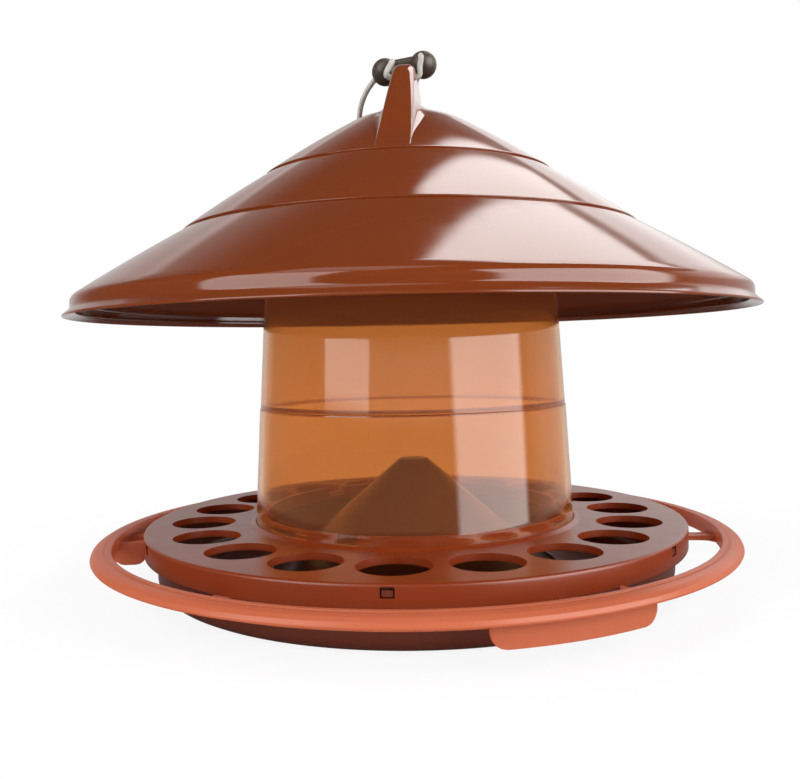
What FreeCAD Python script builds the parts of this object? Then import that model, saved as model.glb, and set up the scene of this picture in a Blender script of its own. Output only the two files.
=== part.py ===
import FreeCAD, Part
import math
import os
import Sketcher

# Silo bird feeder: a seed bowl with a cone, a feed cover, a perch ring, a two-piece silo, a rain roof,
# a cord toggle and a hanging cord. Millimetres; the origin is the middle of the bowl's underside,
# +Z is up and -Y is the front.

doc = FreeCAD.newDocument("silo_bird_feeder")
sheet = doc.addObject("Spreadsheet::Sheet", "dims")
Vector = FreeCAD.Vector
Rotation = FreeCAD.Rotation


class Size:
    """A number together with the sheet expression that gives it."""

    def __init__(self, value, text):
        self.value = value
        self.text = text

    def joined(self, other, sign, value):
        return Size(value, "(%s %s %s)" % (self.text, sign, as_size(other).text))

    def __add__(self, other):
        return self.joined(other, "+", self.value + as_size(other).value)

    def __sub__(self, other):
        return self.joined(other, "-", self.value - as_size(other).value)

    def __mul__(self, other):
        return self.joined(other, "*", self.value * as_size(other).value)

    def __truediv__(self, other):
        return self.joined(other, "/", self.value / as_size(other).value)

    def __radd__(self, other):
        return as_size(other) + self

    def __rsub__(self, other):
        return as_size(other) - self

    def __rmul__(self, other):
        return as_size(other) * self

    def __neg__(self):
        return as_size(0) - self


def root(number):
    return Size(math.sqrt(number.value), "sqrt(%s)" % number.text)


def as_size(number):
    if isinstance(number, Size):
        return number
    return Size(float(number), "%g" % number)


next_row = [1]


def size(alias, number, note):
    """Put one named size in the sheet and return it."""
    row = next_row[0]
    next_row[0] = row + 1
    sheet.set("A%d" % row, alias)
    sheet.set("B%d" % row, "%g" % number)
    sheet.set("C%d" % row, note)
    sheet.setAlias("B%d" % row, alias)
    return Size(float(number), "dims." + alias)


# Sizes of the tray

bowl_radius = size("bowl_radius", 127, "outside of the bowl's wall")
bowl_wall = size("bowl_wall", 2, "bowl wall thickness")
bowl_floor = size("bowl_floor", 2.2, "bowl floor thickness")
bowl_corner = size("bowl_corner", 8, "rounding of the bowl's foot")
rim_reach = size("rim_reach", 3.7, "how far the bowl's rim stands out from its wall")
rim_height = size("rim_height", 3, "height of the bowl's rim")
snap_reach = size("snap_reach", 1.9, "how far a snap lug stands out from the rim")
snap_width = size("snap_width", 4.2, "width of a snap lug")
snap_count = size("snap_count", 6, "snap lugs and windows")
window_width = size("window_width", 5.4, "width of a snap window")
window_height = size("window_height", 4.2, "height of a snap window")
cone_radius = size("cone_radius", 72, "foot of the seed cone")
cone_top_radius = size("cone_top_radius", 7, "flat top of the seed cone")
cone_height = size("cone_height", 55.5, "height of the seed cone")
cone_wall = size("cone_wall", 2, "wall of the seed cone, measured upright")
rib_height = size("rib_height", 1.8, "rib that locates the cone")
rib_width = size("rib_width", 2, "width of that rib")
cover_height = size("cover_height", 28.75, "top of the feed cover above the ground")
plate_thickness = size("plate_thickness", 1.8, "plate of the feed cover")
cover_reach = size("cover_reach", 6, "how far the cover stands out from the bowl's wall")
skirt_wall = size("skirt_wall", 2, "skirt thickness")
skirt_drop = size("skirt_drop", 11, "height of the cover's skirt")
hole_radius = size("hole_radius", 15.5, "radius of a feed hole")
hole_circle = size("hole_circle", 106, "circle that the feed holes lie on")
hole_count = size("hole_count", 18, "feed holes")
collar_wall = size("collar_wall", 1.4, "wall of the collar below a feed hole")
collar_drop = size("collar_drop", 1.5, "depth of that collar below the plate")
neck_wall = size("neck_wall", 1.9, "wall of the neck that the silo turns on")
neck_height = size("neck_height", 5, "height of that neck above the plate")
fit_gap = size("fit_gap", 0.4, "clearance of the parts that turn or slide")
rest_gap = size("rest_gap", 0.25, "clearance under the parts that rest on another body")

# Sizes of the perch ring

perch_gap = size("perch_gap", 12, "open gap between the cover and the perch ring")
perch_width = size("perch_width", 12, "width of the perch ring")
perch_height = size("perch_height", 24.1, "top of the perch ring above the ground")
perch_wall = size("perch_wall", 1.8, "wall of the hollow ring")
spoke_level = size("spoke_level", 16.4, "underside of a spoke above the ground")
spoke_thickness = size("spoke_thickness", 2.5, "thickness of a spoke")
spoke_width = size("spoke_width", 8, "width of a spoke")
spoke_flare = size("spoke_flare", 6, "length of a spoke's flared outer end")
spoke_count = size("spoke_count", 6, "spokes")
head_width = size("head_width", 15, "width of the head at a spoke's inner end")
head_length = size("head_length", 3.2, "length of that head")
ledge_thickness = size("ledge_thickness", 1.4, "ledge on the bowl under a spoke's head")
flap_depth = size("flap_depth", 11, "how far a flap hangs below the ring")
flap_angle = size("flap_angle", 26.8, "angle that a flap covers")
flap_lag = size("flap_lag", 1.9, "angle from a spoke back to the flap's middle")
flap_corner = size("flap_corner", 8, "rounding of a flap's lower corners")
flap_count = size("flap_count", 3, "flaps")
web_gap = size("web_gap", 1.6, "gap between a flap's end web and the cover's skirt")
web_corner = size("web_corner", 6, "rounding of that web's lower corners")

# Sizes of the silo

foot_radius = size("foot_radius", 79.1, "outside of the silo's foot")
seam_radius = size("seam_radius", 76.6, "outside of the lower tube at the joint")
seam_step = size("seam_step", 0.6, "step in at the joint")
seam_height = size("seam_height", 85.3, "joint of the two tubes above the ground")
tube_top_radius = size("tube_top_radius", 70.8, "outside of the upper tube's top")
tube_top_height = size("tube_top_height", 175, "top of the upper tube above the ground")
tube_wall = size("tube_wall", 2, "tube wall")
spigot_length = size("spigot_length", 2.5, "length of the spigot inside the lower tube")
spigot_gap = size("spigot_gap", 0.2, "clearance of the spigot")
foot_lug_height = size("foot_lug_height", 1.8, "height of a bayonet lug at the silo's foot")
foot_lug_level = size("foot_lug_level", 0.7, "underside of that lug above the silo's foot")
foot_lug_angle = size("foot_lug_angle", 6, "angle that the lug covers")
lug_count = size("lug_count", 3, "lugs of each bayonet")
twist_angle = size("twist_angle", 20, "turn that releases the silo")
slot_play = size("slot_play", 0.6, "play of a lug in its slot, in degrees and millimetres")
top_lug_reach = size("top_lug_reach", 1.6, "how far a lug stands out at the silo's top")
top_lug_height = size("top_lug_height", 3, "height of that lug")
top_lug_level = size("top_lug_level", 8, "underside of that lug below the silo's top")
top_lug_angle = size("top_lug_angle", 16, "angle that the lug covers")

# Sizes of the roof

roof_radius = size("roof_radius", 165, "tip of the roof's lip")
lip_height = size("lip_height", 130.9, "upper side of the lip's tip above the ground")
lip_thickness = size("lip_thickness", 1, "thickness of the lip's tip")
band_inset = size("band_inset", 3.5, "how far the upright band stands in from the tip")
band_foot = size("band_foot", 3.2, "foot of the upright band above the tip")
shoulder_rise = size("shoulder_rise", 9.2, "shoulder above the tip")
shoulder_inset = size("shoulder_inset", 5.2, "how far the shoulder stands in from the tip")
low_step_radius = size("low_step_radius", 111.2, "edge of the lower step")
low_step_height = size("low_step_height", 170.9, "edge of the lower step above the ground")
low_step_drop = size("low_step_drop", 1.2, "drop of the lower step")
high_step_radius = size("high_step_radius", 71.4, "edge of the upper step")
high_step_height = size("high_step_height", 198.6, "edge of the upper step above the ground")
high_step_drop = size("high_step_drop", 1, "drop of the upper step")
dome_radius = size("dome_radius", 34, "where the cone passes into the dome")
dome_height = size("dome_height", 222.2, "that circle above the ground")
roof_wall = size("roof_wall", 2.6, "roof wall, measured upright")
collar_bottom = size("collar_bottom", 158, "foot of the roof's collar above the ground")
roof_collar_wall = size("roof_collar_wall", 2, "wall of the roof's collar")
seat_thickness = size("seat_thickness", 2, "thickness of the seat on the silo's top")
seat_reach = size("seat_reach", 2.2, "how far the seat reaches inside the silo's bore")
ledge_height = size("ledge_height", 3, "height of a locking ledge")
ledge_level = size("ledge_level", 2, "underside of that ledge above the collar's foot")
ledge_angle = size("ledge_angle", 24, "angle that the ledge covers")
fin_base = size("fin_base", 200, "level of the fin's base section above the ground")
fin_base_half = size("fin_base_half", 65, "half length of that section")
fin_base_thick = size("fin_base_thick", 16, "thickness of that section")
fin_top = size("fin_top", 254.5, "top of the fin above the ground")
fin_top_half = size("fin_top_half", 11.5, "half length of the fin's top")
fin_top_thick = size("fin_top_thick", 9.2, "thickness of the fin's top")
fin_round = size("fin_round", 12, "rounding of the fin's two upper corners")
fin_edge = size("fin_edge", 2.8, "rounding along the fin's outline")
fin_blend = size("fin_blend", 4, "rounding between the fin and the roof")
eyelet_radius = size("eyelet_radius", 3.1, "radius of the eyelet")
eyelet_level = size("eyelet_level", 5.2, "middle of the eyelet below the fin's top")
eyelet_back = size("eyelet_back", 2, "how far the eyelet stands behind the middle")

# Sizes of the toggle and the cord

cord_radius = size("cord_radius", 1.4, "radius of the cord")
ball_radius = size("ball_radius", 6.9, "radius of the toggle's balls")
ball_half = size("ball_half", 9.9, "half the distance between the balls")
bar_radius = size("bar_radius", 3.4, "radius of the toggle's bar")
bar_rise = size("bar_rise", 1.8, "how far the bar lies above the balls' middles")
toggle_across = size("toggle_across", -1.5, "middle of the toggle, sideways")
toggle_back = size("toggle_back", 11, "middle of the toggle, towards the back")
toggle_rise = size("toggle_rise", 2.8, "middle of the toggle above the fin's top")
toggle_tilt = size("toggle_tilt", 9.3, "tilt of the toggle")

doc.recompute()


# Helpers

def new_body(label):
    body = doc.addObject("PartDesign::Body", label)
    body.Label = label
    return body


def origin_feature(body, role):
    return [f for f in body.Origin.OriginFeatures if f.Role == role][0]


def bind(thing, name, number):
    number = as_size(number)
    if "dims." in number.text:
        thing.setExpression(name, number.text)


def pin(sketch, geometry, point, x, y):
    """Hold one point of a sketch at its two sizes."""
    for kind, axis, number in (("DistanceX", -2, as_size(x)), ("DistanceY", -1, as_size(y))):
        if number.text == "0":
            sketch.addConstraint(Sketcher.Constraint("PointOnObject", geometry, point, axis))
            continue
        place = sketch.addConstraint(Sketcher.Constraint(kind, -1, 1, geometry, point, number.value))
        bind(sketch, "Constraints[%d]" % place, number)


def dome_arc(start, end):
    """Arc about a middle on the upright axis, from a point of the flank to the crown."""
    across = start.x
    rise = end.y - start.y
    radius = (across * across + rise * rise) / (2 * rise)
    middle = Vector(0, end.y - radius, 0)
    turn = math.atan2(start.y - middle.y, start.x)
    return Part.ArcOfCircle(Part.Circle(middle, Vector(0, 0, 1), radius), turn, math.pi / 2)


def new_sketch(body, name, role, offset=0):
    sketch = body.newObject("Sketcher::SketchObject", name)
    sketch.AttachmentSupport = [(origin_feature(body, role), "")]
    sketch.MapMode = "FlatFace"
    offset = as_size(offset)
    sketch.AttachmentOffset = FreeCAD.Placement(Vector(0, 0, offset.value), Rotation())
    bind(sketch, "AttachmentOffset.Base.z", offset)
    return sketch


def loop_sketch(body, name, role, points, offset=0, arc_from=None):
    """Closed outline through the points; the side that starts at point arc_from is a dome's arc."""
    sketch = new_sketch(body, name, role, offset)
    corners = [Vector(as_size(x).value, as_size(y).value, 0) for x, y in points]
    count = len(corners)
    for index in range(count):
        start = corners[index]
        end = corners[(index + 1) % count]
        side = dome_arc(start, end) if index == arc_from else Part.LineSegment(start, end)
        sketch.addGeometry(side, False)
    for index in range(count):
        after = (index + 1) % count
        sketch.addConstraint(Sketcher.Constraint("Coincident", index, 2, after, 1))
    for index in range(count):
        pin(sketch, index, 1, *points[index])
    if arc_from is not None:
        sketch.addConstraint(Sketcher.Constraint("PointOnObject", arc_from, 3, -2))
    return sketch


def circle_sketch(body, name, role, x, y, radius, offset=0):
    sketch = new_sketch(body, name, role, offset)
    middle = Vector(as_size(x).value, as_size(y).value, 0)
    radius = as_size(radius)
    sketch.addGeometry(Part.Circle(middle, Vector(0, 0, 1), radius.value), False)
    pin(sketch, 0, 3, x, y)
    place = sketch.addConstraint(Sketcher.Constraint("Radius", 0, radius.value))
    bind(sketch, "Constraints[%d]" % place, radius)
    return sketch


def revolve(body, name, points, arc_from=None, cut=False, angle=None, middle=False, back=False):
    """Turn an outline of radius and height about the upright axis."""
    sketch = loop_sketch(body, name + "_outline", "XZ_Plane", points, 0, arc_from)
    feature = body.newObject("PartDesign::Groove" if cut else "PartDesign::Revolution", name)
    feature.Profile = sketch
    feature.ReferenceAxis = (sketch, ["V_Axis"])
    feature.Angle = 360 if angle is None else as_size(angle).value
    feature.Midplane = middle
    feature.Reversed = back
    if angle is not None:
        bind(feature, "Angle", angle)
    body.Tip = feature
    return feature


def push(body, name, sketch, length, cut=False, both=False, back=False):
    feature = body.newObject("PartDesign::Pocket" if cut else "PartDesign::Pad", name)
    feature.Profile = sketch
    feature.Length = as_size(length).value
    bind(feature, "Length", length)
    if both:
        feature.SideType = "Symmetric"
    feature.Reversed = back
    body.Tip = feature
    return feature


def around(body, name, features, count):
    """Repeat features evenly about the upright axis."""
    pattern = body.newObject("PartDesign::PolarPattern", name)
    pattern.Originals = features
    pattern.Axis = (origin_feature(body, "Z_Axis"), [""])
    pattern.Angle = 360
    body.Tip = pattern
    pattern.Occurrences = int(count.value)
    pattern.setExpression("Occurrences", count.text)
    return pattern


def round_edges(body, name, radius, wanted):
    """Round the edges of the body's tip that the test accepts."""
    doc.recompute()
    base = body.Tip
    numbered = [(index + 1, edge) for index, edge in enumerate(base.Shape.Edges) if not edge.Degenerated]
    names = ["Edge%d" % index for index, edge in numbered if wanted(edge)]
    if not names:
        raise RuntimeError("no edge found for " + name)
    feature = body.newObject("PartDesign::Fillet", name)
    feature.Base = (base, names)
    feature.Radius = as_size(radius).value
    bind(feature, "Radius", radius)
    body.Tip = feature
    return feature


def hoop(radius, height):
    """Test for the full circle of that radius and height."""
    radius = as_size(radius).value
    height = as_size(height).value

    def test(edge):
        curve = edge.Curve
        if not isinstance(curve, Part.Circle):
            return False
        level = abs(curve.Center.z - height) < 0.02
        return level and abs(curve.Radius - radius) < 0.02 and abs(curve.Center.x) < 0.02
    return test


def slab(low_x, high_x, low_y, high_y):
    return [(low_x, low_y), (high_x, low_y), (high_x, high_y), (low_x, high_y)]


# Heights and radii that several parts share

plate_under = cover_height - plate_thickness
bowl_bore = bowl_radius - bowl_wall
rim_radius = bowl_radius + rim_reach
cover_radius = bowl_radius + cover_reach
skirt_bore = cover_radius - skirt_wall
skirt_foot = cover_height - skirt_drop
window_low = plate_under - window_height + 0.65
foot_height = cover_height + rest_gap
neck_top = cover_height + neck_height
foot_bore = foot_radius - tube_wall
foot_slope = (foot_radius - seam_radius) / (seam_height - foot_height)
neck_radius = foot_bore - foot_slope * neck_height - fit_gap
neck_bore = neck_radius - neck_wall
perch_bore = cover_radius + perch_gap
spoke_top = spoke_level + spoke_thickness

# Seed bowl

bowl = new_body("seed_bowl")
rib_bore = cone_radius + spigot_gap
revolve(bowl, "bowl_shell", [
    (0, 0),
    (bowl_radius, 0),
    (bowl_radius, plate_under - rim_height),
    (rim_radius, plate_under - rim_height),
    (rim_radius, plate_under),
    (bowl_bore, plate_under),
    (bowl_bore, bowl_floor),
    (rib_bore + rib_width, bowl_floor),
    (rib_bore + rib_width, bowl_floor + rib_height),
    (rib_bore, bowl_floor + rib_height),
    (rib_bore, bowl_floor),
    (0, bowl_floor),
])
round_edges(bowl, "bowl_foot", bowl_corner, hoop(bowl_radius, 0))
round_edges(bowl, "bowl_inner_corner", bowl_corner - bowl_wall, hoop(bowl_bore, bowl_floor))
snap_outline = loop_sketch(bowl, "snap_outline", "XZ_Plane", slab(
    -snap_width / 2, snap_width / 2, plate_under - rim_height, plate_under - 0.6), bowl_radius + 1)
snap = push(bowl, "snap_lug", snap_outline, rim_reach - 1 + snap_reach)
around(bowl, "snap_lugs", [snap], snap_count)
ledge_outline = loop_sketch(bowl, "ledge_outline", "XY_Plane", slab(
    bowl_radius - 1, skirt_bore - 0.4, -head_width / 2, head_width / 2), spoke_level)
ledge = push(bowl, "spoke_ledge", ledge_outline, ledge_thickness, back=True)
around(bowl, "spoke_ledges", [ledge], spoke_count)

# Seed cone

cone = new_body("seed_cone")
cone_lean = (cone_radius - cone_top_radius) / cone_height
revolve(cone, "cone_shell", [
    (cone_radius, bowl_floor),
    (cone_top_radius, bowl_floor + cone_height),
    (0, bowl_floor + cone_height),
    (0, bowl_floor + cone_height - cone_wall),
    (cone_top_radius - cone_wall * cone_lean * 0.5, bowl_floor + cone_height - cone_wall),
    (cone_radius - cone_wall * cone_lean * 1.2, bowl_floor),
])

# Feed cover

cover = new_body("tray_cover")
revolve(cover, "cover_shell", [
    (neck_bore, plate_under),
    (skirt_bore, plate_under),
    (skirt_bore, skirt_foot),
    (cover_radius, skirt_foot),
    (cover_radius, cover_height),
    (neck_radius, cover_height),
    (neck_radius, neck_top),
    (neck_bore, neck_top),
])
round_edges(cover, "cover_edge", 1.1, hoop(cover_radius, cover_height))
collar_outline = circle_sketch(
    cover, "collar_outline", "XY_Plane", 0, -hole_circle, hole_radius + collar_wall, plate_under)
hole_collar = push(cover, "hole_collar", collar_outline, collar_drop, back=True)
around(cover, "hole_collars", [hole_collar], hole_count)
hole_outline = circle_sketch(
    cover, "hole_outline", "XY_Plane", 0, -hole_circle, hole_radius, cover_height + 1)
feed_hole = push(cover, "feed_hole", hole_outline, plate_thickness + collar_drop + 2, cut=True)
around(cover, "feed_holes", [feed_hole], hole_count)
window_outline = loop_sketch(cover, "window_outline", "XZ_Plane", slab(
    -window_width / 2, window_width / 2, window_low, window_low + window_height), skirt_bore - 0.5)
window = push(cover, "snap_window", window_outline, skirt_wall + 2, cut=True, back=True)
around(cover, "snap_windows", [window], snap_count)
notch_outline = loop_sketch(cover, "notch_outline", "YZ_Plane", slab(
    -spoke_width / 2 - 0.4, spoke_width / 2 + 0.4, skirt_foot - 1, spoke_top + 0.3), skirt_bore - 1)
notch = push(cover, "spoke_notch", notch_outline, skirt_wall + 2, cut=True, back=True)
around(cover, "spoke_notches", [notch], spoke_count)
lug_low = foot_height + foot_lug_level
slot_low = lug_low - slot_play / 2
slot_high = lug_low + foot_lug_height + slot_play
slot_outline = slab(neck_bore - 1, neck_radius + 1, slot_low, slot_high)
entry_outline = slab(neck_bore - 1, neck_radius + 1, slot_low, neck_top + 1)
slot_half = foot_lug_angle / 2 + slot_play
lock_slot = revolve(cover, "lock_slot", slot_outline, cut=True, angle=slot_half)
lock_slot.Reversed = True
lock_slot.Type = "TwoAngles"
lock_slot.Angle2 = (twist_angle + slot_half).value
lock_slot.setExpression("Angle2", (twist_angle + slot_half).text)
around(cover, "lock_slots", [lock_slot], lug_count)
entry = revolve(cover, "entry_slot", entry_outline, cut=True, angle=slot_half * 2.2, middle=True)
entry.Profile[0].AttachmentOffset = FreeCAD.Placement(
    Vector(0, 0, 0), Rotation(Vector(0, 1, 0), twist_angle.value))
entry.Profile[0].setExpression("AttachmentOffset.Rotation.Angle", twist_angle.text)
around(cover, "entry_slots", [entry], lug_count)

# Perch ring

perch = new_body("perch_ring")
perch_low = perch_height - 4.1
revolve(perch, "ring_channel", [
    (perch_bore, spoke_level),
    (perch_bore + perch_wall, spoke_level),
    (perch_bore + perch_wall, perch_height - 0.4 - perch_wall),
    (perch_bore + perch_width * 0.46, perch_height - 1.4 - perch_wall),
    (perch_bore + perch_width * 0.8, perch_height - 1.7 - perch_wall),
    (perch_bore + perch_width - 1.4, perch_low),
    (perch_bore + perch_width - 0.4, perch_low),
    (perch_bore + perch_width, perch_low + 0.5),
    (perch_bore + perch_width - 0.4, perch_height - 2.5),
    (perch_bore + perch_width - 1.6, perch_height - 1.6),
    (perch_bore + perch_width * 0.8, perch_height - 1.8),
    (perch_bore + perch_width * 0.46, perch_height - 1.4),
    (perch_bore + 1.6, perch_height - 0.1),
    (perch_bore + 0.6, perch_height),
    (perch_bore, perch_height - 0.5),
])
head_foot = bowl_radius + 0.4
spoke_half = spoke_width / 2
spoke_outline = loop_sketch(perch, "spoke_outline", "XY_Plane", [
    (head_foot, -head_width / 2),
    (head_foot + head_length, -head_width / 2),
    (head_foot + head_length, -spoke_half),
    (perch_bore - spoke_flare, -spoke_half),
    (perch_bore - 2, -spoke_half - 1),
    (perch_bore + 0.8, -spoke_half - 4),
    (perch_bore + 0.8, spoke_half + 4),
    (perch_bore - 2, spoke_half + 1),
    (perch_bore - spoke_flare, spoke_half),
    (head_foot + head_length, spoke_half),
    (head_foot + head_length, head_width / 2),
    (head_foot, head_width / 2),
], spoke_level)
spoke = push(perch, "spoke", spoke_outline, spoke_thickness)
around(perch, "spokes", [spoke], spoke_count)
flap_bore = perch_bore + perch_width * 0.36
flap_low = perch_low - flap_depth
flap = revolve(perch, "flap", [
    (-flap_bore - perch_wall, flap_low),
    (-flap_bore, flap_low),
    (-flap_bore, perch_height - 1.4 - perch_wall / 2),
    (-flap_bore - perch_wall, perch_height - 1.6 - perch_wall / 2),
], angle=flap_angle, middle=True)
flap.Profile[0].AttachmentOffset = FreeCAD.Placement(
    Vector(0, 0, 0), Rotation(Vector(0, -1, 0), flap_lag.value))
flap.Profile[0].setExpression("AttachmentOffset.Rotation.Angle", flap_lag.text)
around(perch, "flaps", [flap], flap_count)


def flap_corner_edge(edge):
    if len(edge.Vertexes) != 2 or abs(edge.Length - perch_wall.value) > 0.05:
        return False
    return all(abs(v.Z - flap_low.value) < 0.02 for v in edge.Vertexes)


round_edges(perch, "flap_corners", flap_corner, flap_corner_edge)
web_turn = flap_angle / 2 - flap_lag - perch_wall / flap_bore * 28.648
web_outline = loop_sketch(perch, "web_outline", "XZ_Plane", slab(
    -flap_bore - perch_wall * 0.7, -cover_radius - web_gap, flap_low, perch_low), 0)
web_outline.AttachmentOffset = FreeCAD.Placement(
    Vector(0, 0, 0), Rotation(Vector(0, 1, 0), web_turn.value))
web_outline.setExpression("AttachmentOffset.Rotation.Angle", web_turn.text)
web = push(perch, "flap_web", web_outline, perch_wall, both=True)
around(perch, "flap_webs", [web], flap_count)


def web_corner_edge(edge):
    ends = edge.Vertexes
    if len(ends) != 2 or abs(edge.Length - perch_wall.value) > 0.05:
        return False
    reach = [(v.X ** 2 + v.Y ** 2) ** 0.5 for v in ends]
    return abs(reach[0] - reach[1]) < 0.1 and all(abs(v.Z - flap_low.value) < 0.02 for v in ends)


round_edges(perch, "web_corners", web_corner, web_corner_edge)

# Silo tubes

lower = new_body("lower_silo_tube")
seam_bore = seam_radius - tube_wall
revolve(lower, "lower_wall", [
    (foot_bore, foot_height),
    (foot_radius, foot_height),
    (seam_radius, seam_height),
    (seam_bore, seam_height),
])
foot_lug = revolve(lower, "foot_lug", slab(
    neck_bore + 0.3, foot_bore + 0.8, lug_low, lug_low + foot_lug_height), angle=foot_lug_angle, middle=True)
around(lower, "foot_lugs", [foot_lug], lug_count)

upper = new_body("upper_silo_tube")
spigot_radius = seam_bore - spigot_gap
spigot_bore = spigot_radius - tube_wall
upper_foot = seam_radius - seam_step
revolve(upper, "upper_wall", [
    (spigot_bore, seam_height - spigot_length),
    (spigot_radius, seam_height - spigot_length),
    (spigot_radius, seam_height),
    (upper_foot, seam_height),
    (tube_top_radius, tube_top_height),
    (tube_top_radius - tube_wall, tube_top_height),
    (spigot_bore + 0.4, seam_height + spigot_length),
])
upper_lean = (upper_foot - tube_top_radius) / (tube_top_height - seam_height)
lug_foot = tube_top_height - top_lug_level
lug_wall = tube_top_radius + upper_lean * top_lug_level
lug_tip = lug_wall + top_lug_reach
top_lug = revolve(upper, "top_lug", slab(
    tube_top_radius - tube_wall * 0.4, lug_tip, lug_foot, lug_foot + top_lug_height),
    angle=top_lug_angle, middle=True)
around(upper, "top_lugs", [top_lug], lug_count)

# Roof

roof = new_body("roof")
band_radius = roof_radius - band_inset
band_bore = band_radius - 2.2
shoulder_radius = roof_radius - shoulder_inset
shoulder_height = lip_height + shoulder_rise
cone_slope = (dome_height - high_step_height) / (high_step_radius - dome_radius)
dome_rise = dome_radius * (root(cone_slope * cone_slope + 1) - 1) / cone_slope
crown = dome_height + dome_rise
revolve(roof, "roof_form", [
    (0, lip_height + band_foot - 1.6),
    (band_bore, lip_height + band_foot - 1.6),
    (roof_radius, lip_height - lip_thickness),
    (roof_radius, lip_height),
    (band_radius, lip_height + band_foot),
    (band_radius, lip_height + shoulder_rise * 0.7),
    (shoulder_radius, shoulder_height),
    (low_step_radius, low_step_height - low_step_drop),
    (low_step_radius, low_step_height),
    (high_step_radius, high_step_height - high_step_drop),
    (high_step_radius, high_step_height),
    (dome_radius, dome_height),
    (0, crown),
], arc_from=11)
round_edges(roof, "low_step_edge", 0.7, hoop(low_step_radius, low_step_height))
round_edges(roof, "high_step_edge", 0.7, hoop(high_step_radius, high_step_height))
round_edges(roof, "shoulder_edge", 2.5, hoop(shoulder_radius, shoulder_height))
base_outline = loop_sketch(roof, "fin_base_outline", "XY_Plane", slab(
    -fin_base_thick / 2, fin_base_thick / 2, -fin_base_half, fin_base_half), fin_base)
top_outline = loop_sketch(roof, "fin_top_outline", "XY_Plane", slab(
    -fin_top_thick / 2, fin_top_thick / 2, -fin_top_half, fin_top_half), fin_top)
fin = roof.newObject("PartDesign::AdditiveLoft", "fin")
fin.Profile = base_outline
fin.Sections = [top_outline]
fin.Ruled = True
roof.Tip = fin


def fin_corner(edge):
    ends = edge.Vertexes
    if len(ends) != 2:
        return False
    across = abs(edge.Length - fin_top_thick.value) < 0.02
    return across and all(abs(v.Z - fin_top.value) < 0.02 for v in ends)


def fin_outline(edge):
    ends = edge.Vertexes
    if len(ends) != 2:
        return False
    middle = edge.valueAt((edge.FirstParameter + edge.LastParameter) / 2)
    side = abs(middle.x) > fin_top_thick.value * 0.45
    return side and middle.z > fin_top.value - 4 and max(v.Z for v in ends) > fin_top.value - 0.1


def roof_level(radius):
    """Height of the roof's outside at a radius above the upper step."""
    drop = (dome_height.value - high_step_height.value) / (high_step_radius.value - dome_radius.value)
    if radius > dome_radius.value:
        return dome_height.value - (radius - dome_radius.value) * drop
    arc = (dome_radius.value ** 2 + dome_rise.value ** 2) / (2 * dome_rise.value)
    return crown.value - arc + math.sqrt(arc * arc - radius * radius)


def fin_foot(edge):
    ends = edge.Vertexes
    if len(ends) != 2 or abs(edge.BoundBox.ZMax - crown.value) < 0.001 and edge.BoundBox.ZLength < 0.001:
        return False
    points = edge.discretize(5)
    on_roof = all(abs(p.z - roof_level(math.hypot(p.x, p.y))) < 0.05 for p in points)
    reach = max(math.hypot(p.x, p.y) for p in points)
    curve = edge.Curve
    ring = isinstance(curve, Part.Circle) and abs(curve.Axis.z) > 0.99 and abs(curve.Center.x) < 0.01
    return on_roof and reach < high_step_radius.value - 1 and not ring


round_edges(roof, "fin_corners", fin_round, fin_corner)
round_edges(roof, "fin_edges", fin_edge, fin_outline)
round_edges(roof, "fin_feet", fin_blend, fin_foot)
hollow = revolve(roof, "roof_hollow", [
    (0, lip_height - 10),
    (band_bore, lip_height - 10),
    (band_bore, shoulder_height - roof_wall),
    (low_step_radius, low_step_height - low_step_drop - roof_wall),
    (high_step_radius, high_step_height - high_step_drop - roof_wall),
    (dome_radius, dome_height - roof_wall),
    (0, crown - roof_wall),
], arc_from=5, cut=True)
collar_bore = lug_tip + fit_gap
collar_radius = collar_bore + roof_collar_wall
tier_fall = (high_step_height - high_step_drop - low_step_height + low_step_drop) / (
    low_step_radius - high_step_radius)
tier_under = high_step_height - high_step_drop - roof_wall / 2
seat_low = tube_top_height + rest_gap
seat_bore = tube_top_radius - tube_wall - seat_reach
revolve(roof, "roof_collar", [
    (collar_bore, collar_bottom),
    (collar_radius, collar_bottom),
    (collar_radius, tier_under - tier_fall * (collar_radius - high_step_radius)),
    (collar_bore, tier_under - tier_fall * (collar_bore - high_step_radius)),
    (collar_bore, seat_low + seat_thickness),
    (seat_bore, seat_low + seat_thickness),
    (seat_bore, seat_low),
    (collar_bore, seat_low),
])
ledge_low = collar_bottom + ledge_level
ledge_tip = tube_top_radius + upper_lean * (tube_top_height - ledge_low) + fit_gap
lock_ledge = revolve(roof, "lock_ledge", [
    (-collar_bore - 0.6, ledge_low),
    (-ledge_tip, ledge_low),
    (-ledge_tip, ledge_low + ledge_height),
    (-collar_bore - 0.6, ledge_low + ledge_height),
], angle=ledge_angle, middle=True)
around(roof, "lock_ledges", [lock_ledge], lug_count)
eyelet_height = fin_top - eyelet_level
eyelet_outline = circle_sketch(roof, "eyelet_outline", "YZ_Plane", eyelet_back, eyelet_height, eyelet_radius)
push(roof, "eyelet", eyelet_outline, fin_base_thick * 2, cut=True, both=True)

# Cord routes, as points that straight runs join

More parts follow.
